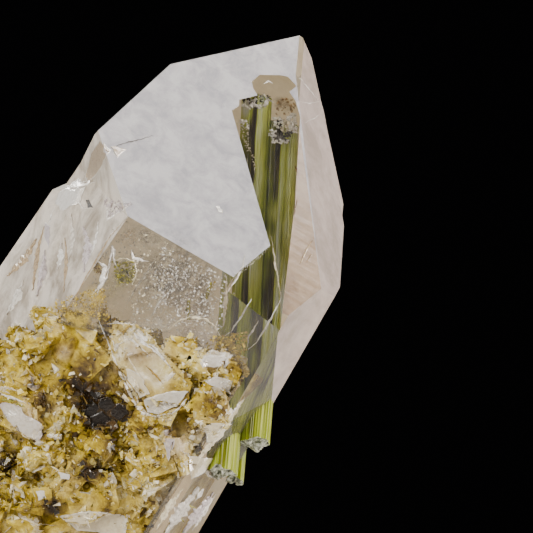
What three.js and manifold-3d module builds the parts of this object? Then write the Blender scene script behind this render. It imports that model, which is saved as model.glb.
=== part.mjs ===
// Green tourmaline in quartz: a clear quartz point that leans on its broken base, with three green
// tourmaline rods running through it to its right side, and an iron-stained crust of broken crystals
// low on its front. Millimetres, +Z up, the viewer in front at -Y, and the base on Z = 0.
import * as THREE from 'three';
import { ConvexGeometry } from 'three/addons/geometries/ConvexGeometry.js';
import { mergeVertices } from 'three/addons/utils/BufferGeometryUtils.js';
import Module from 'manifold-3d';

const wasm = await Module();
wasm.setup();

// Everything is built in the crystal's own frame, then leaned over: X runs across the crystal to
// the right, Y back from the viewer, and Z up along its length.
const leanDegrees = 30;
const baseDepth = 35.3; // from the frame's origin straight down to the flat broken base
const fitGap = 0.3; // between pieces that touch
const farOut = 90;

const quartzFront = 13; // half the depth of the quartz, to its front face
const quartzSide = 15.08; // half its width
const rhombPolar = 51.8; // from the length to the normal of a quartz termination face
const shoulder = -4.86; // the level where the big front facet meets the front prism face

const rodRun = new THREE.Vector3(13.6, -12.3, -28.8); // from a rod's top to where it comes out
const ribDepth = 0.05; // of a rod's ribs, as a share of its radius
const stubProud = 0.8; // how far a rod's broken end stands out of the quartz, at most
const breakTilts = [[0.25, 0.1], [-0.1, 0.3], [0, -0.2]]; // of the three parts of its break

const crustBack = -3.5; // the crust reaches from the front face back to here
const crustSunk = 0.9; // how far its ground lies behind the quartz's faces
const crustProud = 1.1; // how far its fragments stand out of them, at most
const fragmentCount = 100;
const pitCount = 14;

const colours = {
  quartz: 0xcfcad0,
  tourmaline: 0x7d8a3a,
  crust: 0xb89a55
};

const radians = THREE.MathUtils.degToRad;

// The same numbers in every run.
function randomSource(seed) {
  let state = seed;
  return (low = 0, high = 1) => {
    state = (Math.imul(state, 1664525) + 1013904223) >>> 0;
    return low + (high - low) * (state / 2 ** 32);
  };
}

// A face by where its normal points: azimuth from the viewer's side towards the right, polar angle
// from the crystal's length, and its distance from the frame's origin.
function face(azimuth, polar, distance) {
  const across = Math.sin(radians(polar));
  const normal = new THREE.Vector3(
    across * Math.sin(radians(azimuth)),
    -across * Math.cos(radians(azimuth)),
    Math.cos(radians(polar))
  );
  return new THREE.Plane(normal, -distance);
}

function faceAt(azimuth, polar, point) {
  const plane = face(azimuth, polar, 0);
  plane.constant = -plane.normal.dot(point);
  return plane;
}

// A face through three points, with the body on the side of the fourth.
function faceThrough(a, b, c, inside) {
  const plane = new THREE.Plane().setFromCoplanarPoints(a, b, c);
  return plane.distanceToPoint(inside) > 0 ? plane.negate() : plane;
}

function point(x, y, z) {
  return new THREE.Vector3(x, y, z);
}

function grown(planes, gap) {
  return planes.map((plane) => new THREE.Plane(plane.normal.clone(), plane.constant - gap));
}

function solidOf(geometry) {
  geometry.deleteAttribute('normal');
  geometry.deleteAttribute('uv');
  const merged = mergeVertices(geometry, 1e-4);
  return new wasm.Manifold(new wasm.Mesh({
    numProp: 3,
    vertProperties: new Float32Array(merged.attributes.position.array),
    triVerts: new Uint32Array(merged.index.array)
  }));
}

function cornerOf(a, b, c) {
  const bc = new THREE.Vector3().crossVectors(b.normal, c.normal);
  const ca = new THREE.Vector3().crossVectors(c.normal, a.normal);
  const ab = new THREE.Vector3().crossVectors(a.normal, b.normal);
  const spread = a.normal.dot(bc);
  if (Math.abs(spread) < 1e-6) return null;
  bc.multiplyScalar(-a.constant / spread);
  ca.multiplyScalar(-b.constant / spread);
  ab.multiplyScalar(-c.constant / spread);
  return bc.add(ca).add(ab);
}

// The convex body that lies behind every one of the planes.
function convexBody(planes) {
  const corners = [];
  for (let i = 0; i < planes.length; i++) {
    for (let j = i + 1; j < planes.length; j++) {
      for (let k = j + 1; k < planes.length; k++) {
        const corner = cornerOf(planes[i], planes[j], planes[k]);
        if (!corner) continue;
        const kept = planes.every((plane) => plane.distanceToPoint(corner) < 1e-4);
        const isNew = corners.every((other) => other.distanceTo(corner) > 2e-3);
        if (kept && isNew) corners.push(corner);
      }
    }
  }
  return solidOf(new ConvexGeometry(corners));
}

function boxPlanes(low, high) {
  return [
    new THREE.Plane(point(1, 0, 0), -high.x),
    new THREE.Plane(point(-1, 0, 0), low.x),
    new THREE.Plane(point(0, 1, 0), -high.y),
    new THREE.Plane(point(0, -1, 0), low.y),
    new THREE.Plane(point(0, 0, 1), -high.z),
    new THREE.Plane(point(0, 0, -1), low.z)
  ];
}

const everywhere = boxPlanes(point(-farOut, -farOut, -farOut), point(farOut, farOut, farOut));

const lean = new THREE.Matrix4().makeRotationY(radians(leanDegrees));
const upright = lean.clone().invert();
const floorFace = new THREE.Plane(
  point(0, 0, -1).transformDirection(upright),
  -baseDepth
);

const bigFacet = face(0, rhombPolar, 0);
bigFacet.constant = -bigFacet.normal.dot(point(0, -quartzFront, shoulder));

// Depth of the big front facet at a level along the crystal.
function bigFacetDepth(level) {
  return -quartzFront + (level - shoulder) / Math.tan(radians(rhombPolar));
}

const prism = {
  front: face(0, 90, quartzFront),
  rightFront: face(60, 90, 16.72),
  right: face(90, 90, quartzSide),
  rightBack: face(120, 90, 14.2),
  back: face(180, 90, 12.4),
  leftBack: face(-120, 86, 13.2),
  leftFront: face(-60, 86.5, 12.89)
};

const leftTaper = face(-90, 74.1, 14.88);
const backLeftTip = face(-120, 62.8, 14.48);
const rightTaper = face(90, 64.5, 13.53);

// The faces that the crystal's main body and its later layer have in common.
const shared = [
  ...Object.values(prism),
  bigFacet,
  face(120, rhombPolar, 16),
  face(180, rhombPolar, 19.4),
  backLeftTip,
  leftTaper,
  rightTaper,
  floorFace
];

// The crystal up to its tip.
function mainPoint() {
  return convexBody([...shared, face(60, rhombPolar, 8.733)]);
}

// The right shoulder stands proud of the tip's right facet, as a layer that grew later.
function rightShoulder() {
  return convexBody([...shared, face(62.3, 44.4, 10.68), face(120, 68, 13.43)]);
}

// The big facet reaches past the left prism face as a ledge with an undercut side.
function leftLedge() {
  const ledgeEnd = 15.25; // how far it reaches to the left
  const inside = point(-8, 0, 5);
  const undercut = faceThrough(
    point(-7.82, -quartzFront, shoulder),
    point(-14.73, bigFacetDepth(1), 1),
    point(-14.73, -1.6, -2.64),
    inside
  );
  return convexBody([
    bigFacet,
    prism.front,
    undercut,
    leftTaper,
    backLeftTip,
    prism.leftBack,
    new THREE.Plane(point(-1, 0, 0), -ledgeEnd),
    new THREE.Plane(point(1, 0, 0), 2),
    new THREE.Plane(point(0, 1, 0), -6)
  ]);
}

// Lower on the left the outline steps out, with a bright facet on top of the step.
function leftStep() {
  const [front, back] = grown([prism.leftFront, prism.leftBack], 0.75);
  return convexBody([
    front,
    back,
    faceAt(-78, 48, point(-14.6, -2, -5)),
    faceAt(-28, 80, point(-13.6, -4.5, -7)),
    new THREE.Plane(point(0, 1, 0), -5),
    new THREE.Plane(point(1, 0, 0), 10),
    floorFace
  ]);
}

// A shallow window in the big facet, where growth was held back over the tourmaline.
function windowCut() {
  const outline = [
    [-4.1, 10.24], [-4.15, 11.8], [-3.2, 13], [-3.9, 14.1], [-3.6, 15.3], [-2.3, 16.5], [0.1, 16.9],
    [0.45, 16.1], [-0.1, 15.2], [1.1, 15], [2.45, 13.4], [6.65, 4.9], [12.6, -9], [4.86, -9],
    [4.86, -4.65], [6.55, -0.1]
  ];
  const sunk = 0.3; // at the window's left corner
  const slant = 0.1; // deeper to the right
  const rise = 1 / Math.tan(radians(rhombPolar));
  const normal = point(-slant, 1, -rise).normalize();
  const floor = new THREE.Plane(normal, 0);
  floor.constant = -normal.dot(point(-4, bigFacetDepth(10.24) + sunk, 10.24));
  const shape = new THREE.Shape(outline.map(([x, z]) => new THREE.Vector2(x, z)));
  const block = new THREE.ExtrudeGeometry(shape, { depth: farOut, bevelEnabled: false });
  block.rotateX(Math.PI / 2);
  block.translate(0, farOut / 2, 0);
  return solidOf(block).intersect(convexBody([floor, ...everywhere]));
}

// Right of the window the big facet dips a little towards it, up to the right shoulder's edge.
function rightDip() {
  const dip = 0.25; // at the window's edge, halfway down
  const edgeTop = point(2.13, bigFacetDepth(13.42), 13.42);
  const edgeEnd = point(14.03, bigFacetDepth(-2.14), -2.14);
  const lowered = point(6.4, bigFacetDepth(4.7) + dip, 4.7);
  const floor = faceThrough(edgeTop, edgeEnd, lowered, point(6.4, -farOut, 4.7));
  const windowTop = point(2.2, 0, 13.6);
  const windowFoot = point(12.3, 0, -9);
  const atWindow = faceThrough(windowTop, windowFoot, point(2.2, farOut, 13.6), edgeEnd);
  return convexBody([floor, atWindow, ...everywhere]);
}

const rods = [
  { name: 'tourmaline_left', top: point(-3.05, 4.2, 12.6), radius: 1.6, turn: 20, run: 1.24 },
  { name: 'tourmaline_middle', top: point(4.9, 2.5, -0.6), radius: 1.0, turn: 75, run: 0.79 },
  { name: 'tourmaline_right', top: point(1.22, 4.0, 11.4), radius: 1.5, turn: -10, run: 1.05 }
];

// The section of a tourmaline: a bulging triangle with ribs along its sides.
function rodSection(radius, gap) {
  const steps = 24;
  const outline = [];
  for (let i = 0; i < steps; i++) {
    const angle = (i / steps) * 2 * Math.PI;
    const bulge = 1 + 0.07 * Math.cos(3 * angle);
    const rib = gap > 0 ? 1 : 1 - ribDepth * (i % 2);
    const reach = radius * bulge * rib + gap;
    outline.push(new THREE.Vector2(reach * Math.cos(angle), reach * Math.sin(angle)));
  }
  return new THREE.Shape(outline);
}

function rodFrame(rod) {
  const along = rodRun.clone().negate().normalize();
  const side = point(0, 1, 0).cross(along).normalize();
  const front = along.clone().cross(side);
  return new THREE.Matrix4()
    .makeBasis(side, front, along)
    .multiply(new THREE.Matrix4().makeRotationZ(radians(rod.turn)))
    .setPosition(rod.top);
}

// A rod from its top down past the quartz. Its top carries three low facets.
function rodBody(rod, gap) {
  const length = 62;
  const bar = new THREE.ExtrudeGeometry(rodSection(rod.radius, gap), {
    depth: length,
    bevelEnabled: false
  });
  bar.translate(0, 0, gap - length);
  const frame = rodFrame(rod);
  bar.applyMatrix4(frame);
  const topFacets = [10, 130, 250].map((turn) => {
    const tilt = radians(27);
    const normal = point(
      Math.sin(tilt) * Math.cos(radians(turn)),
      Math.sin(tilt) * Math.sin(radians(turn)),
      Math.cos(tilt)
    ).transformDirection(frame);
    const plane = new THREE.Plane(normal, -normal.dot(rod.top));
    return new THREE.Plane(normal, plane.constant - gap);
  });
  return solidOf(bar).intersect(convexBody([...topFacets, ...everywhere]));
}

// A rod is broken off across its length, just after it leaves the quartz's right front face.
function rodEnds(rod) {
  const end = rodRun.clone().multiplyScalar(rod.run).add(rod.top);
  const across = rodRun.clone().normalize();
  const breaks = breakTilts.map(([x, y]) => across.clone().add(point(x, y, 0)).normalize());
  const outside = breaks.map((normal) => new THREE.Plane(normal, -normal.dot(end)));
  return convexBody([...grown([prism.rightFront, prism.right], stubProud), ...outside, ...everywhere]);
}

// A random piece of broken crystal: a turned block with some of its corners knocked off.
function fragmentPlanes(random, centre, size) {
  const turn = new THREE.Euler(random(0, 6.28), random(0, 6.28), random(0, 6.28));
  const half = size / 2;
  const low = point(-half * random(0.6, 1), -half * random(0.5, 1), -half * random(0.8, 1.5));
  const high = point(half * random(0.6, 1), half * random(0.5, 1), half * random(0.8, 1.5));
  const planes = boxPlanes(low, high);
  for (let i = 0; i < 3; i++) {
    planes.push(face(random(0, 360), random(30, 150), half * random(0.6, 0.85)));
  }
  const matrix = new THREE.Matrix4().makeRotationFromEuler(turn).setPosition(centre);
  return planes.map((plane) => plane.applyMatrix4(matrix));
}

// A thin blade of crystal, given by its outline, its middle and how it is turned.
function bladePlanes(outline, thickness, centre, turn) {
  const planes = [
    new THREE.Plane(point(0, 1, 0), -thickness / 2),
    new THREE.Plane(point(0, -1, 0), -thickness / 2)
  ];
  outline.forEach(([x, z], i) => {
    const [nextX, nextZ] = outline[(i + 1) % outline.length];
    const normal = point(nextZ - z, 0, x - nextX).normalize();
    planes.push(new THREE.Plane(normal, -normal.dot(point(x, 0, z))));
  });
  const matrix = new THREE.Matrix4()
    .makeRotationFromEuler(new THREE.Euler(...turn.map(radians)))
    .setPosition(centre);
  return planes.map((plane) => plane.applyMatrix4(matrix));
}

const crustLeft = face(-60, 86.5, 13.6);

// The crust's ground, sunk behind the quartz's front and left faces.
function crustGround(sunk) {
  return [
    face(0, 90, quartzFront - sunk),
    ...grown([crustLeft], -sunk),
    face(-92, 85, 15.2),
    new THREE.Plane(point(0, 1, 0), -crustBack),
    faceAt(88, 92, point(11, -8, -18)),
    new THREE.Plane(point(-0.823, 0, 0.567), 3),
    new THREE.Plane(point(-0.257, 0, 0.966), 15),
    floorFace
  ];
}

// The blades' outlines run anticlockwise seen from the front, [across, along].
const blades = [
  {
    outline: [[-5.6, 0.9], [-3.2, -2.2], [2.6, -2.6], [5.9, -0.6], [4.9, 1.7], [-2.6, 2.3]],
    thickness: 0.9, centre: point(1.6, -13.1, -17.1), turn: [6, 12, -4]
  },
  {
    outline: [[-2.3, -0.9], [1.4, -1.7], [2.4, 0.2], [-0.4, 1.8]],
    thickness: 1.4, centre: point(-6.8, -12.9, -28.8), turn: [-8, -20, 10]
  },
  {
    outline: [[-1.9, -0.3], [1.7, -0.6], [1.9, 0.1], [-1.5, 0.5]],
    thickness: 2.4, centre: point(-8.4, -12.2, -26.6), turn: [10, -28, 0]
  },
  {
    outline: [[-1.9, -0.3], [0.4, -1.2], [2, 0.3], [0.2, 1.1]],
    thickness: 0.8, centre: point(7.5, -13.1, -13.6), turn: [12, 20, 8]
  },
  {
    outline: [[-2.8, -1.5], [2.4, -2.1], [3.4, 0.6], [-1.2, 1.9]],
    thickness: 1.0, centre: point(6.6, -13.0, -24.4), turn: [-6, 24, -5]
  },
  {
    outline: [[-5.6, -1.4], [1.5, -3.1], [5.2, -1.2], [4.4, 2.4], [-2.4, 2.9]],
    thickness: 1.8, centre: point(1.5, -12.7, -33), turn: [5, -30, 3]
  }
];

// The crust's upper rim, as a level for each place across the crystal.
function rimLevel(across) {
  return -17.6 + (across + 8.9) * (across < -8.9 ? 1.45 : 0.266);
}

// Fragments sit in the crust's front and left faces, with their middles inside it.
function crustPieces() {
  const random = randomSource(8);
  const pieces = [];
  for (let i = 0; i < fragmentCount; i++) {
    const size = random(1.8, 4.2) * (i % 7 === 0 ? 1.5 : 1);
    const across = random(-15, 10);
    const bottom = (0.5 * across - baseDepth) / 0.866;
    const level = THREE.MathUtils.lerp(bottom, rimLevel(across), Math.pow(random(), 0.8));
    const sunk = crustSunk + size * random(0, 0.2);
    const centre = point(across, -quartzFront + sunk, level);
    const pastLeft = crustLeft.distanceToPoint(centre) + sunk;
    if (pastLeft > 0) centre.y -= pastLeft / crustLeft.normal.y;
    if (floorFace.distanceToPoint(centre) > -size) continue;
    pieces.push(fragmentPlanes(random, centre, size));
  }
  blades.forEach((blade) => {
    pieces.push(bladePlanes(blade.outline, blade.thickness, blade.centre, blade.turn));
  });
  return pieces;
}

// The deepest pit is the dark hollow in the middle of the crust.
function pitsInCrust() {
  const random = randomSource(21);
  const deepest = point(0.8, -quartzFront + 0.4, -23.7);
  const pits = [convexBody(fragmentPlanes(random, deepest, 5.4))];
  for (let i = 0; i < pitCount; i++) {
    const centre = point(random(-9, 9), -quartzFront - 0.2, random(-36, -18));
    pits.push(convexBody(fragmentPlanes(random, centre, random(1.6, 3.4))));
  }
  return pits;
}

// No fragment stands further out of the quartz's own outline than this.
const crustLimit = [
  face(0, 90, quartzFront + crustProud),
  face(-60, 86.5, 14.3 + crustProud),
  face(-92, 85, 15.7 + crustProud),
  ...everywhere
];

function joined(solids) {
  return solids.reduce((whole, solid) => whole.add(solid));
}

function cutBy(solid, cutters) {
  return cutters.reduce((rest, cutter) => rest.subtract(cutter), solid);
}

const pieces = crustPieces();
const channels = rods.map((rod) => rodBody(rod, fitGap));

function crustSolid() {
  const rough = joined([crustGround(crustSunk), ...pieces].map(convexBody));
  const inLimit = rough.intersect(convexBody([...crustLimit, floorFace]));
  return cutBy(inLimit, [...pitsInCrust(), ...channels]);
}

function quartzSolid() {
  const whole = joined([mainPoint(), rightShoulder(), leftLedge(), leftStep()]);
  const crustRoom = [crustGround(-3), ...pieces].map((planes) => convexBody(grown(planes, fitGap)));
  return cutBy(whole, [windowCut(), rightDip(), ...channels, ...crustRoom]);
}

// Cutting leaves a few loose chips, which are dropped.
function withoutChips(solid) {
  const bodies = solid.decompose();
  return bodies.reduce((biggest, body) => (body.volume() > biggest.volume() ? body : biggest));
}

function meshOf(name, solid, colour, roughness) {
  const { vertProperties, triVerts, numProp } = withoutChips(solid).getMesh();
  const geometry = new THREE.BufferGeometry();
  const positions = new Float32Array((vertProperties.length / numProp) * 3);
  for (let i = 0; i < positions.length / 3; i++) {
    for (let axis = 0; axis < 3; axis++) {
      positions[3 * i + axis] = vertProperties[numProp * i + axis];
    }
  }
  geometry.setAttribute('position', new THREE.BufferAttribute(positions, 3));
  geometry.setIndex(new THREE.BufferAttribute(new Uint32Array(triVerts), 1));
  geometry.computeVertexNormals();
  const material = new THREE.MeshStandardMaterial({ color: colour, roughness, metalness: 0 });
  const mesh = new THREE.Mesh(geometry, material);
  mesh.name = name;
  return mesh;
}

const specimen = new THREE.Group();
specimen.add(meshOf('quartz_point', quartzSolid(), colours.quartz, 0.1));
rods.forEach((rod) => {
  const solid = rodBody(rod, 0).intersect(rodEnds(rod));
  specimen.add(meshOf(rod.name, solid, colours.tourmaline, 0.3));
});
specimen.add(meshOf('stained_crust', crustSolid(), colours.crust, 0.7));

// Leaned over and stood on its base, with the middle of its bounding box over the origin.
specimen.rotation.y = radians(leanDegrees);
specimen.updateMatrixWorld(true);
const bounds = new THREE.Box3().setFromObject(specimen, true);
const middle = bounds.getCenter(new THREE.Vector3());
specimen.position.set(-middle.x, -middle.y, -bounds.min.z);

const part = new THREE.Group();
part.add(specimen);

export default part;
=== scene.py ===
import math
import random

import bmesh
import bpy
from mathutils import Euler, Matrix, Vector, noise
from mathutils.bvhtree import BVHTree


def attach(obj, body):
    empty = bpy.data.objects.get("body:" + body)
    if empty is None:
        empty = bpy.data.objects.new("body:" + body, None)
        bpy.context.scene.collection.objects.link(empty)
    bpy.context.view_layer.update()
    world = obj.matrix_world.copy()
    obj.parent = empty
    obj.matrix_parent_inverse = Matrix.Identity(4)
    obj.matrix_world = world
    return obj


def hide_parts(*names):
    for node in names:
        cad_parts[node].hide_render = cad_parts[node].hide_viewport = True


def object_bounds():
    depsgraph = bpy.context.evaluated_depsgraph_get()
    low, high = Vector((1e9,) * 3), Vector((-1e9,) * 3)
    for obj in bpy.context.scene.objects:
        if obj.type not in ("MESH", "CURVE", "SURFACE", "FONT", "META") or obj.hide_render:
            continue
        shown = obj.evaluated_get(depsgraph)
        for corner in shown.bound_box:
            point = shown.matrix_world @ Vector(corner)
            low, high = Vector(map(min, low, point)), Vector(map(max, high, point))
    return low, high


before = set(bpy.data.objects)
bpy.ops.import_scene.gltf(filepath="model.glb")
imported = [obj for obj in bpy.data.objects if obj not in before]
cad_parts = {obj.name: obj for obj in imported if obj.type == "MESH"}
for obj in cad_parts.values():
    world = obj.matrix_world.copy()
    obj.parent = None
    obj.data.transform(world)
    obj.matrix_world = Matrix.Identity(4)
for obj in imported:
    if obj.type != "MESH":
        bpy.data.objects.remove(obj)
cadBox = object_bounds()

scene = bpy.context.scene
mm = 0.001
farOut = 90.0  # mm, past every face
quartzIor = 1.544
tourmalineIor = 1.62

# The crystal is built upright in millimetres, X across, Y back, Z along, and leans over as a whole.
leanAngle = math.radians(30)
baseDepth = 35.3
crystalOrigin = Vector((14.945, 0.85, baseDepth)) * mm
crystalToRow = Matrix.Translation(crystalOrigin) @ Matrix.Rotation(leanAngle, 4, 'Y')
crystalMm = crystalToRow @ Matrix.Scale(mm, 4)  # from crystal millimetres to the row's metres
unitPerPixel = 0.1056  # mm of the specimen for one pixel of the picture
pictureSize = 533
originPixel = (217, 214)  # where the crystal's origin shows in the picture


def hexColour(text):
    # sRGB hex to the linear values that shaders take
    channels = []
    for i in (1, 3, 5):
        value = int(text[i:i + 2], 16) / 255
        channels.append(value / 12.92 if value <= 0.04045 else ((value + 0.055) / 1.055) ** 2.4)
    return (*channels, 1.0)


def addNode(tree, kind, settings=None, values=None, links=None):
    node = tree.nodes.new(kind)
    for key, value in (settings or {}).items():
        setattr(node, key, value)
    for key, value in (values or {}).items():
        node.inputs[key].default_value = value
    for key, socket in (links or {}).items():
        tree.links.new(socket, node.inputs[key])
    return node


def newMaterial(name):
    material = bpy.data.materials.new(name)
    material.use_nodes = True
    material.node_tree.nodes.clear()
    return material, material.node_tree


def addRamp(tree, factor, stops):
    ramp = addNode(tree, 'ShaderNodeValToRGB', links={'Fac': factor})
    elements = ramp.color_ramp.elements
    while len(elements) > 1:
        elements.remove(elements[-1])
    elements[0].position = stops[0][0]
    elements[0].color = hexColour(stops[0][1])
    for position, colour in stops[1:]:
        elements.new(position).color = hexColour(colour)
    return ramp.outputs['Color']


def objectPlace(tree):
    return addNode(tree, 'ShaderNodeTexCoord').outputs['Object']


def attributeOf(tree, name):
    return addNode(tree, 'ShaderNodeAttribute', {'attribute_name': name})


def stretched(tree, place, scale):
    return addNode(tree, 'ShaderNodeMapping', values={'Scale': scale}, links={'Vector': place}).outputs[0]


def addNoise(tree, place, scale, detail, roughness=0.5, distortion=0.0):
    values = {'Scale': scale, 'Detail': detail, 'Roughness': roughness, 'Distortion': distortion}
    return addNode(tree, 'ShaderNodeTexNoise', values=values, links={'Vector': place}).outputs['Fac']


def addSum(tree, socket, factor, added):
    # socket times factor, and added on top
    return addNode(tree, 'ShaderNodeMath', {'operation': 'MULTIPLY_ADD'}, {1: factor},
                   {0: socket, 2: added}).outputs[0]


def addGloss(tree, colour, height, bump, rough, ior, clear=0.0, shine=0.5):
    # a glossy surface, with a bump given as its strength and its depth in metres
    strength, depth = bump
    relief = addNode(tree, 'ShaderNodeBump', values={'Strength': strength, 'Distance': depth},
                     links={'Height': height})
    values = {'IOR': ior, 'Roughness': rough, 'Transmission Weight': clear, 'Specular IOR Level': shine}
    return addNode(tree, 'ShaderNodeBsdfPrincipled', values=values,
                   links={'Base Color': colour, 'Normal': relief.outputs[0]})


def finishMaterial(tree, shader):
    addNode(tree, 'ShaderNodeOutputMaterial', links={'Surface': shader.outputs[0]})


# Solids from planes: each is a normal and a distance from the crystal's origin, in millimetres.
def face(azimuth, polar, distance):
    across = math.sin(math.radians(polar))
    turn = math.radians(azimuth)
    normal = Vector((across * math.sin(turn), -across * math.cos(turn), math.cos(math.radians(polar))))
    return normal, distance


def facing(normal, point):
    normal = Vector(normal).normalized()
    return normal, normal.dot(Vector(point))


def faceThrough(a, b, c, inside):
    normal = (Vector(b) - Vector(a)).cross(Vector(c) - Vector(a)).normalized()
    if normal.dot(Vector(inside) - Vector(a)) > 0:
        normal.negate()
    return facing(normal, a)


def grown(planes, gap):
    return [(normal, distance + gap) for normal, distance in planes]


def sliceOff(body, normal, distance):
    # takes away what is past a plane and gives the edges of the cut
    cut = bmesh.ops.bisect_plane(body, geom=body.verts[:] + body.edges[:] + body.faces[:], dist=1e-5,
                                 plane_co=normal * distance, plane_no=normal, clear_outer=True)
    return [part for part in cut['geom_cut'] if isinstance(part, bmesh.types.BMEdge)]


def convexBody(planes):
    body = bmesh.new()
    bmesh.ops.create_cube(body, size=2 * farOut)
    for normal, distance in planes:
        rim = sliceOff(body, normal, distance)
        if rim:
            bmesh.ops.contextual_create(body, geom=rim)
    bmesh.ops.remove_doubles(body, verts=body.verts[:], dist=1e-4)
    bmesh.ops.recalc_face_normals(body, faces=body.faces[:])
    return body


def makeObject(name, body, matrix=None):
    mesh = bpy.data.meshes.new(name)
    body.to_mesh(mesh)
    body.free()
    if matrix is not None:
        mesh.transform(matrix)
    obj = bpy.data.objects.new(name, mesh)
    scene.collection.objects.link(obj)
    return obj


def crystalPlace(tree):
    # the place on the crystal, upright again, so that growth patterns follow its length
    return addNode(tree, 'ShaderNodeMapping', values={'Rotation': (0, -leanAngle, 0)},
                   links={'Vector': objectPlace(tree)}).outputs[0]


def applyModifiers(obj):
    bpy.context.view_layer.update()
    graph = bpy.context.evaluated_depsgraph_get()
    mesh = bpy.data.meshes.new_from_object(obj.evaluated_get(graph))
    obj.modifiers.clear()
    old = obj.data
    obj.data = mesh
    bpy.data.meshes.remove(old)


def combine(base, bodies, operation):
    for body in bodies:
        tool = makeObject('tool', body)
        step = base.modifiers.new('combine', 'BOOLEAN')
        step.operation = operation
        step.solver = 'MANIFOLD'
        step.object = tool
        applyModifiers(base)
        bpy.data.objects.remove(tool)


def outlinePrism(outline, low, high):
    # an outline of (across, along) points, from one depth to another
    body = bmesh.new()
    front = [body.verts.new((x, low, z)) for x, z in outline]
    back = [body.verts.new((x, high, z)) for x, z in outline]
    count = len(outline)
    body.faces.new(front)
    body.faces.new(back[::-1])
    for i in range(count):
        j = (i + 1) % count
        body.faces.new((front[j], front[i], back[i], back[j]))
    bmesh.ops.recalc_face_normals(body, faces=body.faces[:])
    return body


def clipped(body, plane):
    bmesh.ops.edgenet_fill(body, edges=sliceOff(body, *plane))
    bmesh.ops.recalc_face_normals(body, faces=body.faces[:])
    return body


# The quartz point.
quartz = {
    'front': 13.0, 'side': 15.08, 'rhomb': 51.8, 'shoulder': -4.86, 'ledgeEnd': 15.25,
    'windowSunk': 0.3, 'windowSlant': 0.1, 'dip': 0.25, 'underCrust': 0.25, 'edgeWear': 0.05,
}
riseOfFacet = 1 / math.tan(math.radians(quartz['rhomb']))


def facetDepth(level):
    return -quartz['front'] + (level - quartz['shoulder']) * riseOfFacet


bigFacet = facing(face(0, quartz['rhomb'], 0)[0], (0, -quartz['front'], quartz['shoulder']))
floorFace = (Matrix.Rotation(-leanAngle, 3, 'Y') @ Vector((0, 0, -1)), baseDepth)
prism = {
    'front': face(0, 90, quartz['front']), 'rightFront': face(60, 90, 16.72),
    'right': face(90, 90, quartz['side']), 'rightBack': face(120, 90, 14.2), 'back': face(180, 90, 12.4),
    'leftBack': face(-120, 86, 13.2), 'leftFront': face(-60, 86.5, 12.89),
}
sides = list(prism.values())
leftTaper = face(-90, 74.1, 14.88)
backLeftTip = face(-120, 62.8, 14.48)
tipRight = face(60, 51.8, 8.733)
shoulderFacet = face(62.3, 44.4, 10.68)
leftStepFacet = facing(face(-78, 48, 0)[0], (-14.6, -2, -5))


def quartzBodies():
    # the main body, and the layers that grew on it later
    shared = sides + [bigFacet, face(120, 51.8, 16), face(180, 51.8, 19.4), backLeftTip, leftTaper,
                      face(90, 64.5, 13.53), floorFace]
    mainPoint = convexBody(shared + [tipRight])
    rightShoulder = convexBody(shared + [shoulderFacet, face(120, 68, 13.43)])
    undercut = faceThrough((-7.82, -quartz['front'], quartz['shoulder']), (-14.73, facetDepth(1), 1),
                           (-14.73, -1.6, -2.64), (-8, 0, 5))
    leftLedge = convexBody([bigFacet, prism['front'], undercut, leftTaper, backLeftTip, prism['leftBack'],
                            (Vector((-1, 0, 0)), quartz['ledgeEnd']), (Vector((1, 0, 0)), -2),
                            (Vector((0, 1, 0)), 6)])
    outer, back = grown([prism['leftFront'], prism['leftBack']], 0.75)
    leftStep = convexBody([outer, back, leftStepFacet, facing(face(-28, 80, 0)[0], (-13.6, -4.5, -7)),
                           (Vector((0, 1, 0)), 5), (Vector((1, 0, 0)), -10), floorFace])
    return mainPoint, [rightShoulder, leftLedge, leftStep]


windowFloor = facing((-quartz['windowSlant'], 1, -riseOfFacet),
                     (-4, facetDepth(10.24) + quartz['windowSunk'], 10.24))
dipFloor = faceThrough((2.13, facetDepth(13.42), 13.42), (14.03, facetDepth(-2.14), -2.14),
                       (6.4, facetDepth(4.7) + quartz['dip'], 4.7), (6.4, -farOut, 4.7))


def windowCut():
    # the see-through window, where growth was held back over the tourmalines
    outline = [(-4.15, 10.28), (-3.75, 11.1), (-4.05, 11.7), (-2.6, 13.1), (-3.4, 13.5), (-3.9, 14.1),
               (-3.55, 15.15), (-1.6, 16.25), (-0.85, 16.5), (0.45, 16.1), (0.1, 15.15), (1.15, 14.65),
               (2.45, 13.4), (6.65, 4.9), (12.6, -9), (4.86, -9), (4.86, -4.65), (6.55, -0.1)]
    return clipped(outlinePrism(outline, -farOut / 2, farOut / 2), windowFloor)


def rightDip():
    # right of the window the big facet dips a little towards it
    atWindow = faceThrough((2.2, 0, 13.6), (12.3, 0, -9), (2.2, farOut, 13.6), (14.03, 0, -2.14))
    return convexBody([dipFloor, atWindow])


crustLeft = face(-60, 86.5, 13.6)


def crustRoomPlanes(inset):
    # the quartz runs a little way into the crust, so no air shows between them
    return [
        face(-92, 85, 15.2 - inset), (Vector((0, 1, 0)), -11.2),
        facing(face(88, 92, 0)[0], (11 - inset, -8, -18)),
        (Vector((-0.823, 0, 0.567)).normalized(), -3 - inset),
        (Vector((-0.257, 0, 0.966)).normalized(), -15 - inset)]


def crustRoom(inset):
    return convexBody([face(0, 90, 30), (crustLeft[0], 30)] + crustRoomPlanes(inset))


# right of this plane the right faces are hazy, left of it they show the rods
hazeLimit = facing((0.9125, 0, 0.4195), (5.95, 0, 5.1))


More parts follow.
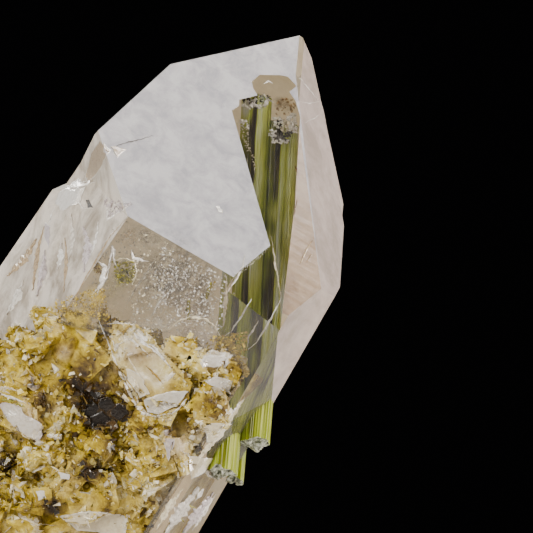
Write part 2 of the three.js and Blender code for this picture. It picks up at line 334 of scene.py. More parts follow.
def quartzMaterials():
    # Quartz grown in open water: glassy faces with faint steps across their length.
    # Its haze of tiny bubbles is left on the face as the share that isn't clear.
    made = {}
    looks = (
        # name, pale tone, dark tone, clear share, lit through from behind, roughness, bump, clouds per metre
        ('quartz clear window', '#FFFDF8', '#F4EFE6', 1.0, 0, 0.01, 0.04, 300),
        ('quartz clear prism face as grown', '#FBF8F4', '#E3DCD2', 0.95, 0, 0.02, 0.12, 300),
        ('quartz satin growth facet', '#B2B1B4', '#8E8D93', 0.08, 0, 0.27, 0.12, 420),
        ('quartz hazy prism face', '#F4EDE4', '#A89E90', 0.3, 0, 0.2, 0.3, 260),
        # painted light: the left step facet gets pale tones as if it caught the lamp from the upper left
        ('quartz bright step', '#FFFCF6', '#E2DDD4', 0.08, 0, 0.2, 0.2, 420),
        ('quartz rosy haze', '#D9CAC4', '#B5A79F', 0.3, 0, 0.14, 0.2, 230),
        ('quartz tan haze', '#B7A18B', '#957E69', 0.36, 0, 0.12, 0.2, 230),
        ('quartz frosted back', '#EFE9E0', '#CFC6BA', 0.0, 0.62, 0.35, 1.0, 420),
        ('quartz stained under the crust', '#5E4410', '#221504', 0.0, 0, 0.4, 0.6, 700),
    )
    for name, pale, dark, clear, through, rough, bumpSize, clouds in looks:
        material, tree = newMaterial(name)
        # growth steps lie across the length, about 0.4 mm apart
        steps = addNoise(tree, stretched(tree, crystalPlace(tree), (150, 150, 2500)), 1.0, 4.0)
        # clouds of bubbles hang straight down on the left face and lie evenly on the others
        drawn = stretched(tree, objectPlace(tree), (1.8, 1.0, 0.45) if 'hazy' in name else (1, 1, 1))
        cloud = addNoise(tree, drawn, clouds, 9.0, 0.7, 0.4)
        colour = addRamp(tree, cloud, ((0.38, dark), (0.6, pale)))
        shader = addGloss(tree, colour, steps, (bumpSize, 0.00006), rough, quartzIor, clear)
        if through:
            glow = addNode(tree, 'ShaderNodeBsdfTranslucent', values={'Color': hexColour('#DFCBA4')})
            shader = addNode(tree, 'ShaderNodeMixShader', values={0: through},
                             links={1: shader.outputs[0], 2: glow.outputs[0]})
        finishMaterial(tree, shader)
        made[name.replace('quartz ', '')] = material
    return made


def lookOfFace(polygon, room):
    # each face has its own look, known by where it points
    normal, middle = polygon.normal, polygon.center
    alike = 0.9995  # cosine between two normals that count as one
    if any(abs(middle.dot(n) - distance) < 0.02 and abs(normal.dot(n)) > 0.999 for n, distance in room):
        return 'stained under the crust'
    if normal.dot(bigFacet[0]) > alike:
        return 'satin growth facet'
    # the left step facet takes the pale look painted as lit
    if normal.dot(leftStepFacet[0]) > 0.999:
        return 'bright step'
    if normal.dot(-windowFloor[0]) > alike:
        return 'clear window'
    if normal.dot(-dipFloor[0]) > alike:
        return 'tan haze'
    leftOfHaze = middle.dot(hazeLimit[0]) < hazeLimit[1]
    if normal.y < -0.99 or abs(normal.y) < 0.02 and polygon.area < 30 and normal.x < 0.95:
        return 'clear prism face as grown'
    if normal.y > 0.2 or normal.z < -0.7:
        return 'frosted back'
    if normal.x > 0 and leftOfHaze:
        return 'clear prism face as grown'
    return 'rosy haze' if normal.x > 0 else 'hazy prism face'


def buildQuartz():
    mainPoint, additions = quartzBodies()
    obj = makeObject('quartzPoint', mainPoint)
    combine(obj, additions, 'UNION')
    combine(obj, [windowCut(), rightDip(), crustRoom(quartz['underCrust'])], 'DIFFERENCE')
    body = bmesh.new()
    body.from_mesh(obj.data)
    bmesh.ops.dissolve_limit(body, angle_limit=math.radians(0.5), verts=body.verts[:], edges=body.edges[:])
    bmesh.ops.bisect_plane(body, geom=body.verts[:] + body.edges[:] + body.faces[:], dist=1e-5,
                           plane_co=hazeLimit[0] * hazeLimit[1], plane_no=hazeLimit[0])
    body.to_mesh(obj.data)
    body.free()
    materials = quartzMaterials()
    names = list(materials)
    obj.data.materials.clear()
    for material in materials.values():
        obj.data.materials.append(material)
    room = crustRoomPlanes(quartz['underCrust'])
    for polygon in obj.data.polygons:
        polygon.material_index = names.index(lookOfFace(polygon, room))
    # the edges are worn by a hair, so they catch the light
    wear = obj.modifiers.new('wear', 'BEVEL')
    wear.width = quartz['edgeWear']
    wear.segments = 1
    wear.limit_method = 'ANGLE'
    wear.angle_limit = math.radians(12)
    applyModifiers(obj)
    obj.data.transform(crystalMm)
    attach(obj, 'root')
    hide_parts('quartz_point')
    print('quartz point', len(obj.data.polygons), 'faces')
    return obj


# The tourmaline rods. Strips are tones from dark (0) to pale (1) from a rod's left edge to its right.
# Spots and painted highlights are places along a rod in mm below its top, across it, their reach in mm and
# how much paler; the two pale lines across the right rod are painted highlights.
# Past bareFrom, in mm below its top, a rod is weathered to one dull green, by the bareShare.
tourmaline = {
    'run': Vector((13.6, -12.3, -28.8)),
    'around': 96, 'ringStep': 0.3, 'bareTone': 0.5, 'bareShare': 0.75,
    'rods': (
        {'name': 'tourmalineLeft', 'node': 'tourmaline_left', 'top': (-2.95, 4.2, 12.6), 'radius': 1.68,
         'turn': 20, 'run': 1.24, 'seed': 3, 'bareFrom': 32,
         'strips': ((0, 0.5), (0.1, 0.4), (0.3, 0.34), (0.44, 0.18), (0.52, 0.02), (0.6, 0.12), (0.64, 0.72),
                    (0.78, 0.76), (0.86, 0.56), (1, 0.5)),
         'spotsAndPaintedHighlights': ((2, 0.24, 0.75, 0.64), (9, 0.3, 0.8, -0.15), (8.5, 0.92, 0.4, -0.16),
                   (20, 0.06, 0.5, 0.35), (19, 0.5, 1.2, 0.16), (26, 0.7, 0.8, -0.3),
                   (23, 0.2, 1.6, 0.3), (36, 0.5, 3.4, -0.03))},
        {'name': 'tourmalineMiddle', 'node': 'tourmaline_middle', 'top': (4.9, 2.5, -0.6), 'radius': 1.0,
         'turn': 75, 'run': 0.79, 'seed': 5, 'bareFrom': 22,
         'strips': ((0, 0.7), (0.2, 0.55), (0.35, 0.28), (0.6, 0.5), (0.8, 0.22), (1, 0.5)),
         'spotsAndPaintedHighlights': ((10, 0.4, 1.6, 0.25), (27, 0.5, 3.0, -0.1))},
        {'name': 'tourmalineRight', 'node': 'tourmaline_right', 'top': (1.1, 4.0, 11.4), 'radius': 1.6,
         'turn': -10, 'run': 1.05, 'seed': 9, 'bareFrom': 29,
         'strips': ((0, 0.62), (0.08, 0.6), (0.13, 0.24), (0.3, 0.18), (0.36, 0.06), (0.46, 0.08),
                    (0.52, 0.74), (0.63, 0.78), (0.67, 0.4), (0.72, 0.72), (0.86, 0.7), (1, 0.76)),
         # painted highlights: the two pale lines across the rod, at 11.5 and 15 mm below its top, each with a
         # darker side
         'spotsAndPaintedHighlights': ((11.5, 0.4, 0.55, 0.5), (11.7, 0.2, 0.5, 0.25), (11.6, 0.6, 0.4, -0.2),
                   (14.9, 0.42, 0.7, 0.5), (15, 0.2, 0.6, 0.3), (15, 0.63, 0.5, -0.22),
                   (13.2, 0.4, 0.35, -0.1), (22, 0.75, 1.2, 0.22), (27.5, 0.3, 0.5, 0.4),
                   (34, 0.5, 3.4, -0.03))},
    ),
}


def rodMatrix(top, turn):
    along = (tourmaline['run'] * -1).normalized()
    side = Vector((0, 1, 0)).cross(along).normalized()
    front = along.cross(side)
    basis = Matrix((side, front, along)).transposed().to_4x4()
    return Matrix.Translation(Vector(top)) @ basis @ Matrix.Rotation(math.radians(turn), 4, 'Z')


def tourmalineMaterial():
    # Tourmaline, ribbed along its length as it grew, with a glassy shine. Dark cores between lighter
    # olive strips make each rod read as a bundle of green glass ribs.
    material, tree = newMaterial('tourmaline green ribbed as grown')
    # ribs about 0.15 mm apart
    along = stretched(tree, attributeOf(tree, 'alongRod').outputs['Vector'], (3.2, 3.2, 0.06))
    ribs = addNoise(tree, along, 1.0, 4.0, 0.6)
    mixed = addSum(tree, ribs, 0.5, attributeOf(tree, 'tone').outputs['Fac'])
    level = addNode(tree, 'ShaderNodeMath', {'operation': 'SUBTRACT'}, {1: 0.25}, {0: mixed})
    colour = addRamp(tree, level.outputs[0], (
        (0.0, '#160E00'), (0.12, '#332903'), (0.28, '#5C600C'), (0.46, '#8C9A20'), (0.62, '#AAB24A'),
        (0.76, '#B5C07C'), (0.95, '#CBD3C6')))
    finishMaterial(tree, addGloss(tree, colour, ribs, (0.5, 0.00008), 0.22, tourmalineIor, shine=0.15))
    return material


def frostMaterial():
    # Tourmaline where it broke: a pale blue-green frost of tiny steps.
    material, tree = newMaterial('tourmaline broken end')
    grit = addNoise(tree, objectPlace(tree), 2600.0, 4.0)
    colour = addRamp(tree, grit, ((0.36, '#2C2A18'), (0.46, '#8E957A'), (0.56, '#C9CDBB'), (0.7, '#F2F2EA')))
    finishMaterial(tree, addGloss(tree, colour, grit, (0.9, 0.0002), 0.3, tourmalineIor, 0.1))
    return material


def between(stops, at):
    for (low, lowValue), (high, highValue) in zip(stops, stops[1:]):
        if at <= high:
            return lowValue + (highValue - lowValue) * (at - low) / (high - low)
    return stops[-1][1]


def buildRod(rod, materials):
    chance = random.Random(rod['seed'])
    radius, seed = rod['radius'], rod['seed']
    length = tourmaline['run'].length * rod['run']
    around = tourmaline['around']
    ribDepths = [chance.choice((0, 0, 0.02, 0.05, 0.07)) for _ in range(around)]
    rings = int(length / tourmaline['ringStep'])
    body = bmesh.new()
    alongLayer = body.verts.layers.float_vector.new('alongRod')
    toneLayer = body.verts.layers.float.new('tone')
    turn = math.radians(rod['turn'])

    def addVertex(x, y, z):
        vertex = body.verts.new((x, y, z))
        vertex[alongLayer] = (x, y, z)
        across = 0.5 + 0.5 * (x * math.cos(turn) - y * math.sin(turn)) / (1.07 * radius)
        drift = 0.05 * noise.noise(Vector((z * 0.25, seed, 0)))
        tone = between(rod['strips'], min(1, max(0, across + drift)))
        # pale and dark spots on the rod, some of them painted highlights
        for along, side, reach, paler in rod['spotsAndPaintedHighlights']:
            away = math.hypot(0.35 * (z + along), (across - side) * 2.5 * radius) / reach
            tone += paler * math.exp(-away * away)
        bare = min(1, max(0, (-z - rod['bareFrom']) / 2))
        tone += (tourmaline['bareTone'] - tone) * tourmaline['bareShare'] * bare
        vertex[toneLayer] = tone + 0.16 * noise.noise(Vector((x, y, z * 0.35 + seed)))
        return vertex

    loops = []
    for ring in range(rings + 1):
        loop = []
        for i in range(around):
            angle = i / around * 2 * math.pi
            bulge = 1 + 0.07 * math.cos(3 * angle)
            reach = radius * bulge * (1 - ribDepths[i])
            x, y = reach * math.cos(angle), reach * math.sin(angle)
            z = -length * (1 - ring / rings)
            if ring == rings:
                z -= 0.35 * radius * abs(noise.noise(Vector((x, y, seed)) * 1.1)) + 0.28 * radius
            if ring == 0:
                z += 0.5 * radius * noise.noise(Vector((x, y, seed + 9)) * 0.9)
            loop.append(addVertex(x, y, z))
        loops.append(loop)
    for low, high in zip(loops, loops[1:]):
        for i in range(around):
            j = (i + 1) % around
            body.faces.new((low[i], low[j], high[j], high[i]))
    for loop, sign in ((loops[-1], 1), (loops[0], -1)):
        # a broken end: rings of small uneven steps in to the middle
        outer = loop
        for step in (0.72, 0.42, 0.16):
            inner = []
            for base in [vertex.co for vertex in loop]:
                jag = 0.22 * radius * noise.noise(Vector((base.x * step, base.y * step, seed + 4)) * 3.3)
                lift = sign * 0.16 * radius * (1 - step) + jag
                inner.append(addVertex(base.x * step, base.y * step, base.z + lift))
            for i in range(around):
                j = (i + 1) % around
                quad = (outer[i], outer[j], inner[j], inner[i])
                body.faces.new(quad if sign > 0 else quad[::-1]).material_index = 1
            outer = inner
        body.faces.new(outer if sign > 0 else outer[::-1]).material_index = 1
    bmesh.ops.recalc_face_normals(body, faces=body.faces[:])
    obj = makeObject(rod['name'], body, crystalMm @ rodMatrix(rod['top'], rod['turn']))
    for material in materials:
        obj.data.materials.append(material)
    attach(obj, 'root')
    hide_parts(rod['node'])
    return obj


# Small bodies that are gathered into one mesh carry their looks on their points.
tints = {
    'white': '#FFFDF8', 'cream': '#F3E9CC', 'lilac': '#D9CFD2', 'grey': '#6A6663', 'dust': '#EBE6DC',
    'tan': '#BFA782', 'ochre': '#CFB659', 'amber': '#9C7A1C', 'brown': '#6B4C14', 'umber': '#241706',
    'olive': '#A5A03A', 'green': '#5F6A18',
}


def hullShapes(count, points, seed):
    # a few chip shapes about one unit across: the hulls of scattered points
    chance = random.Random(seed)
    shapes = []
    for _ in range(count):
        body = bmesh.new()
        for _ in range(points):
            body.verts.new([chance.choice((-1, 1)) * chance.uniform(0.4, 1) for _ in range(3)])
        hull = bmesh.ops.convex_hull(body, input=body.verts[:])
        stray = [v for v in hull['geom_interior'] + hull['geom_unused'] if isinstance(v, bmesh.types.BMVert)]
        bmesh.ops.delete(body, geom=list(set(stray)), context='VERTS')
        body.verts.index_update()
        shapes.append(([v.co.copy() for v in body.verts], [[v.index for v in f.verts] for f in body.faces]))
        body.free()
    return shapes


chipShapes = hullShapes(count=30, points=8, seed=12)


class Pile:
    # bodies gathered into one mesh, with named values on their points
    def __init__(self, *names):
        self.points, self.faces, self.slots = [], [], []
        self.values = {name: [] for name in names}

    def add(self, points, faces, slot, *values):
        first = len(self.points)
        self.points.extend(points)
        for name, value in zip(self.values, values):
            self.values[name].extend(value if isinstance(value, list) else [value] * len(points))
        for corners in faces:
            self.faces.append([first + i for i in corners])
            self.slots.append(slot)

    def addChip(self, chance, centre, half, turn, slot, *values):
        shape, faces = chance.choice(chipShapes)
        self.add([centre + turn @ (co * half) for co in shape], faces, slot, *values)

    def make(self, name, materials):
        low, high = cadBox
        mesh = bpy.data.meshes.new(name)
        inside = [Vector([min(high[i], max(low[i], p[i])) for i in range(3)]) for p in self.points]
        mesh.from_pydata(inside, [], self.faces)
        for key, values in self.values.items():
            if isinstance(values[0], tuple):
                layer = mesh.attributes.new(key, 'FLOAT_COLOR', 'POINT')
                layer.data.foreach_set('color', [part for value in values for part in value])
            else:
                mesh.attributes.new(key, 'FLOAT', 'POINT').data.foreach_set('value', values)
        mesh.polygons.foreach_set('material_index', self.slots)
        for material in materials:
            mesh.materials.append(material)
        obj = bpy.data.objects.new(name, mesh)
        scene.collection.objects.link(obj)
        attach(obj, 'root')
        return obj


def anyTurn(chance):
    return Euler([chance.uniform(0, 2 * math.pi) for _ in range(3)]).to_matrix()


def pictureOf(point):
    # where a place in the row's frame shows in the picture
    return ((point.x - crystalOrigin.x) / mm / unitPerPixel + originPixel[0],
            (crystalOrigin.z - point.z) / mm / unitPerPixel + originPixel[1])


def isInside(outline, x, y):
    inside = False
    for (ax, ay), (bx, by) in zip(outline, outline[1:] + outline[:1]):
        if (ay > y) != (by > y) and x < (bx - ax) * (y - ay) / (by - ay) + ax:
            inside = not inside
    return inside


def zoneSum(zones, x, y):
    return sum(amount * math.exp(-((x - zoneX) ** 2 + (y - zoneY) ** 2) / reach ** 2)
               for zoneX, zoneY, reach, amount in zones)


# The iron-stained crust. Zones are places in the picture: x, y, reach, amount.
crust = {
    'seed': 4, 'chips': 20000, 'smallest': 0.11, 'largest': 1.1, 'glassyShare': 0.5,
    'sizeSkew': 3.2, 'paleChips': 0.05, 'finestGround': 0.8, 'plainStain': 0.36, 'bleachLifts': 0.25,
    'stained': (
        (116, 404, 34, 0.3), (92, 392, 16, 0.24), (46, 402, 12, 0.40), (54, 502, 10, 0.42),
        (94, 469, 10, 0.55), (10, 460, 12, 0.4), (20, 526, 34, 0.03), (80, 532, 26, 0.06),
        (104, 412, 16, 0.2), (207, 403, 16, 0.2),
        (75, 384, 12, 0.25), (90, 360, 18, 0.14), (74, 330, 14, 0.12), (150, 388, 8, 0.2),
        (110, 452, 16, 0.1), (214, 471, 9, 0.3), (196, 460, 10, 0.12), (61, 349, 4, 0.3),
        (220, 366, 10, 0.1)),
    'bleached': (
        (148, 366, 30, 0.85), (125, 340, 20, 0.5), (200, 505, 32, 0.95), (178, 442, 16, 0.8),
        (207, 430, 16, 0.7), (25, 416, 14, 0.9), (218, 356, 14, 0.9), (67, 351, 9, 0.8), (170, 498, 22, 0.5),
        (84, 520, 14, 0.6), (60, 405, 14, 0.35), (70, 472, 20, 0.3), (130, 495, 20, 0.2),
        (238, 400, 14, 0.7)),
    'calm': (
        (78, 348, 34, 1.0), (150, 368, 32, 1.0), (200, 506, 32, 1.0), (98, 518, 34, 0.9), (50, 515, 24, 0.8),
        (25, 418, 16, 0.9), (20, 380, 22, 0.7), (178, 442, 16, 0.9), (15, 525, 24, 0.7), (180, 400, 16, 0.6)),
}


def crustLook(point, speckle):
    x, y = pictureOf(point)
    bleach = zoneSum(crust['bleached'], x, y)
    stain = crust['plainStain'] + zoneSum(crust['stained'], x, y) - crust['bleachLifts'] * bleach
    # patches about 2.4, 0.8 and 1.4 mm across
    stain += 0.26 * noise.noise(point * 420) + 0.2 * noise.noise(point * 1300)
    bleach += 0.3 * noise.noise(point * 700)
    return min(1, max(0, stain + speckle)), min(1, max(0, bleach))


def crustMaterials():
    # Quartz broken and healed with iron oxide in every crack: glassy chips from cream through ochre to
    # nearly black brown, each with its own small glint. The second is its cleaner chips.
    made = []
    for name, clear, rough in (('quartz broken and iron stained', 0.06, 0.24),
                               ('quartz broken chips, thinly stained', 0.5, 0.08)):
        material, tree = newMaterial(name)
        place = objectPlace(tree)
        # swirls of stain 1 to 2 mm across, and grit of 0.3 mm
        swirl = addNoise(tree, place, 700.0, 6.0, 0.65, 1.2)
        both = addSum(tree, addNoise(tree, place, 3200.0, 4.0, 0.7), 0.5, swirl)
        mixed = addSum(tree, both, 0.7, attributeOf(tree, 'stain').outputs['Fac'])
        level = addNode(tree, 'ShaderNodeMath', {'operation': 'SUBTRACT'}, {1: 0.52}, {0: mixed})
        stained = addRamp(tree, level.outputs[0], (
            (0.03, '#FFF8E2'), (0.17, '#EADB88'), (0.31, '#CDB43C'), (0.46, '#A38A18'), (0.6, '#705906'),
            (0.74, '#3E2903'), (0.92, '#180E02')))
        bleached = addRamp(tree, level.outputs[0], (
            (0.03, '#F4ECDC'), (0.17, '#CDBFA4'), (0.5, '#A68F64'), (0.85, '#5C4722')))
        colour = addNode(tree, 'ShaderNodeMix', {'data_type': 'RGBA'},
                         links={0: attributeOf(tree, 'bleach').outputs['Fac'], 6: stained, 7: bleached})
        finishMaterial(tree, addGloss(tree, colour.outputs[2], both, (0.5, 0.00012), rough, quartzIor, clear,
                                      0.35))
        made.append(material)
    return made


def crustGround():
    # the solid's own surface, cut finer and roughened
    body = bmesh.new()
    body.from_mesh(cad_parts['stained_crust'].data)
    bmesh.ops.remove_doubles(body, verts=body.verts[:], dist=2e-6)
    for longest in (0.0025, 0.0013, crust['finestGround'] * mm):
        edges = [edge for edge in body.edges
                 if edge.calc_length() > longest and min(edge.verts[0].co.y, edge.verts[1].co.y) < -0.004]
        bmesh.ops.subdivide_edges(body, edges=edges, cuts=1)
        bmesh.ops.triangulate(body, faces=body.faces[:])
    body.normal_update()
    for v in body.verts:
        if v.co.z > 0.0008:
            v.co += v.normal * (0.00008 * noise.noise(v.co * 900) + 0.00005 * noise.noise(v.co * 2600))
    body.verts.index_update()
    body.normal_update()
    return body


def buildCrust():
    body = crustGround()
    chance = random.Random(crust['seed'])
    outward = Vector((-0.25, -0.93, 0.25)).normalized()
    faces = [f for f in body.faces if f.normal.dot(outward) > 0.0 and f.calc_center_median().y < -0.003]
    picked = chance.choices(faces, weights=[f.calc_area() for f in faces], k=crust['chips'])
    pile = Pile('stain', 'bleach')
    for f in picked:
        a, b, c = [v.co for v in f.verts[:3]]
        s, t = sorted((chance.random(), chance.random()))
        share = chance.random() ** crust['sizeSkew']
        size = (crust['smallest'] + (crust['largest'] - crust['smallest']) * share) * mm
        spot = a * s + b * (t - s) + c * (1 - t) - f.normal * size * 0.1
        half = Vector((size * chance.uniform(0.2, 0.6), size * chance.uniform(0.08, 0.4),
                       size * chance.uniform(0.5, 1.0)))
        turn = anyTurn(chance)
        stain, bleach = crustLook(spot, chance.gauss(0, 0.2))
        if chance.random() < zoneSum(crust['calm'], *pictureOf(spot)) or spot.z < cadBox[0][2] + size:
            continue
        if chance.random() < crust['paleChips']:
            stain, bleach = 0.1, 0.8
        glassy = chance.random() < crust['glassyShare'] * (1.3 - stain)
        pile.addChip(chance, spot, half, turn, int(glassy), stain * (0.7 if glassy else 1), bleach)
    looks = [crustLook(v.co, 0.05) for v in body.verts]
    pile.add([v.co.copy() for v in body.verts], [[v.index for v in f.verts] for f in body.faces], 0,
             [look[0] for look in looks], [look[1] for look in looks])
    surface = BVHTree.FromBMesh(body)
    body.free()
    obj = pile.make('ironStainedCrust', crustMaterials())
    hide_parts('stained_crust')
    print('crust', len(obj.data.polygons), 'faces')
    return surface


# Finer things in and on the crystal, by where they show in the picture, in pixels.
veils = {
    'name': 'veilsInQuartz', 'slot': 'clear_quartz', 'seed': 31,
    'dust': (  # outline, how many, size in mm, tint, depth from and to in mm or None on the surface
        (((140, 222), (232, 276), (226, 330), (200, 345), (130, 330), (118, 270)), 700, 0.12, 'dust',
         -12.9, -8),
        (((165, 245), (228, 278), (222, 330), (170, 322), (150, 290)), 700, 0.17, 'white', -13.04, -12.9),
        (((140, 230), (175, 245), (165, 300), (135, 320), (128, 290)), 300, 0.16, 'cream', -13.04, -12.9),
        (((150, 262), (210, 280), (222, 372), (170, 368), (132, 318)), 500, 0.15, 'white', -13.04, -12.9),
        (((108, 235), (128, 220), (150, 262), (110, 300), (84, 312)), 350, 0.16, 'dust', -12.9, -10),
        (((104, 198), (133, 204), (110, 220)), 70, 0.3, 'lilac', None, None),
    ),
    'clouds': (  # place, reach across and along, turn, depth in mm, tint, cover
        (166, 272, 34, 44, 30, -12.7, 'grey', 0.7), (190, 282, 36, 30, -20, -12.4, 'grey', 0.6),
        (205, 300, 14, 26, 10, -12.6, 'grey', 0.5), (150, 238, 18, 10, 25, -12.5, 'grey', 0.5),
        (132, 236, 18, 15, 0, -11, 'tan', 0.5), (190, 300, 30, 34, 20, -11.5, 'lilac', 0.45),
        (112, 285, 16, 24, 30, -12, 'olive', 0.35), (200, 340, 36, 22, 0, -12.4, 'lilac', 0.5),
        (100, 310, 26, 12, 10, -12.6, 'ochre', 0.5), (150, 325, 40, 10, -10, -12.7, 'dust', 0.5),
    ),
    'lines': (  # line, width in mm, tint, depth in mm or None on the surface
        (((110, 270), (113, 258), (115, 248), (117, 262), (121, 268)), 0.5, 'white', -12.9),
        (((113, 262), (108, 280), (97, 292), (92, 304)), 0.55, 'white', -12.9),
        (((133, 250), (136, 258), (150, 262)), 0.4, 'white', -13.02),
        (((115, 262), (125, 258), (136, 261), (139, 272), (135, 284)), 0.2, 'cream', -13.02),
        (((100, 262), (108, 266), (104, 284), (98, 296)), 0.7, 'white', -13.02),
        (((121, 262), (133, 260), (137, 268), (134, 280)), 0.16, 'white', -12.9),
        (((160, 255), (150, 270), (140, 285), (130, 302)), 0.3, 'dust', -12.9),
        (((173, 288), (162, 300), (152, 318)), 0.4, 'dust', -12.9),
        (((158, 290), (165, 290), (172, 284)), 0.4, 'white', -12.5),
        (((150, 262), (162, 254), (175, 250), (184, 252)), 0.22, 'cream', -12.9),
        (((180, 316), (192, 314), (204, 318), (214, 326), (222, 338)), 0.22, 'cream', -12.9),
        (((113, 323), (120, 321), (128, 324), (136, 331), (144, 340), (156, 349), (165, 358), (171, 365)),
         0.34, 'white', None),
        (((122, 330), (133, 338), (141, 344), (151, 354)), 0.3, 'dust', None),
        (((110, 333), (116, 341), (118, 350), (121, 343), (127, 340)), 0.22, 'white', None),
        (((121, 362), (125, 372), (132, 384), (138, 393), (141, 402), (149, 412), (163, 416), (177, 411)),
         0.3, 'cream', None),
        (((177, 411), (185, 400), (194, 391)), 0.2, 'white', None),
        (((148, 364), (157, 373), (165, 382)), 0.34, 'amber', None),
        (((0, 391), (15, 395), (30, 401)), 0.34, 'white', None),
        (((0, 386), (12, 385), (22, 389)), 0.4, 'cream', None),
        (((2, 396), (16, 399), (30, 405)), 0.4, 'olive', None),
        (((245, 395), (234, 412), (222, 428), (212, 441), (203, 452), (196, 466)), 0.95, 'cream', None),
        (((243, 397), (230, 416), (217, 432)), 0.5, 'white', None),
        (((130, 480), (150, 487), (165, 482), (185, 472)), 0.25, 'cream', None),
        (((15, 470), (17, 490), (24, 512), (40, 520), (60, 522)), 0.4, 'cream', None),
        (((252, 298), (242, 315), (232, 330), (225, 335)), 0.24, 'white', -12.9),
        (((281, 298), (268, 323), (256, 342), (248, 349)), 0.24, 'white', -12.6),
        (((259, 320), (254, 328), (249, 335), (248, 346)), 0.3, 'dust', -12.9),
        (((271, 236), (275, 262), (281, 297)), 0.22, 'cream', None),
        (((245, 255), (243, 266), (237, 278), (228, 292)), 0.3, 'dust', None),
        (((114, 149), (122, 145), (135, 142), (154, 136)), 0.14, 'grey', None),
        (((108, 203), (109, 221), (120, 213), (134, 205)), 0.28, 'white', None),
        (((104, 198), (113, 206), (124, 203), (133, 205)), 0.16, 'white', None),
        (((112, 215), (118, 207), (122, 211)), 0.12, 'grey', None),
        (((60, 210), (66, 206), (80, 203), (84, 209), (96, 208)), 0.16, 'white', None),
        (((297, 72), (308, 84), (319, 97)), 0.12, 'white', None),
        (((300, 100), (310, 101), (320, 98)), 0.1, 'white', None),
        (((305, 122), (312, 118), (320, 112)), 0.1, 'white', None),
        (((56, 204), (50, 218), (46, 234)), 0.2, 'white', None),
        (((62, 243), (62, 256), (59, 270)), 0.8, 'white', None),
        (((100, 317), (112, 345), (123, 373), (134, 396), (143, 410), (158, 414), (173, 411), (185, 402),
          (196, 391)), 0.34, 'white', None),
        (((110, 323), (122, 322), (134, 324), (146, 336), (158, 348), (168, 360), (174, 368)), 0.42, 'white',
         None),
        (((118, 340), (128, 352), (138, 368), (148, 384)), 0.2, 'cream', None),
        (((172, 328), (180, 320), (192, 316), (207, 318), (216, 326), (222, 336)), 0.25, 'cream', None),
        (((214, 490), (198, 512), (182, 533)), 1.3, 'lilac', None),
        (((200, 484), (182, 508), (166, 531)), 1.5, 'dust', None),
        (((216, 492), (206, 508), (193, 528)), 0.5, 'white', None),
        (((184, 486), (170, 504), (158, 526)), 0.9, 'cream', None),
        (((205, 486), (196, 498)), 0.5, 'white', None),
        (((84, 226), (90, 246), (86, 272)), 1.0, 'lilac', None),
        (((72, 214), (74, 240), (70, 262)), 0.5, 'dust', None),
        (((46, 250), (44, 272), (38, 296)), 0.9, 'lilac', None),
        (((24, 280), (18, 298), (8, 314)), 1.1, 'dust', None),
        (((100, 222), (98, 240), (92, 258)), 0.4, 'white', None),
        (((88, 180), (78, 184), (66, 190)), 0.16, 'white', None),
        # painted glint: a short white stroke in the imprint above the rods
        (((264, 82), (268, 79), (273, 82)), 0.3, 'white', None),
    ),
    'plates': (  # outline, how proud in mm, tint, rim tint
        # painted highlight: a white plate that makes the left step facet pale, as if lit from the upper left
        (((57, 193), (66, 187), (77, 178), (87, 186), (80, 203), (70, 207), (63, 212), (55, 203)), 0.1,
         'white', 'white'),
        (((44, 222), (50, 225), (50, 247), (45, 240)), 0.08, 'lilac', 'white'),
        (((102, 140), (113, 151), (97, 176), (88, 184), (84, 178), (91, 152)), 0.05, 'tan', 'dust'),
        (((112, 147), (127, 150), (119, 158)), 0.05, 'tan', 'cream'),
        # painted glint: a small white and cream patch on the big facet
        (((216, 207), (219, 206), (224, 211), (223, 214), (219, 212)), 0.04, 'white', 'cream'),
        (((201, 360), (205, 354), (213, 348), (220, 351), (227, 350), (235, 354), (230, 360), (228, 365),
          (203, 366)), 0.25, 'white', 'white'),
        (((203, 379), (215, 375), (232, 378), (231, 392)), 0.3, 'dust', 'white'),
        (((3, 401), (10, 399), (27, 405), (27, 410), (47, 422), (46, 432), (42, 440), (20, 428), (10, 415)),
         0.35, 'dust', 'lilac'),
        (((128, 366), (142, 372), (152, 392), (142, 396), (130, 378)), 0.2, 'cream', 'white'),
        (((145, 398), (158, 392), (176, 388), (190, 389), (178, 404), (160, 412), (150, 410)), 0.3,
         'dust', 'white'),
        (((162, 430), (173, 424), (177, 440), (170, 458)), 0.3, 'lilac', 'white'),
        (((62, 468), (74, 470), (73, 476), (64, 475)), 0.3, 'white', 'white'),
        (((40, 488), (49, 486), (50, 494), (43, 496)), 0.3, 'white', 'white'),
        (((62, 512), (92, 506), (130, 512), (128, 531), (80, 527)), 0.25, 'cream', 'white'),
        (((205, 420), (232, 421), (220, 436), (208, 440)), 0.3, 'cream', 'white'),
        (((190, 452), (214, 456), (206, 470), (192, 476)), 0.25, 'cream', 'dust'),
    ),
}
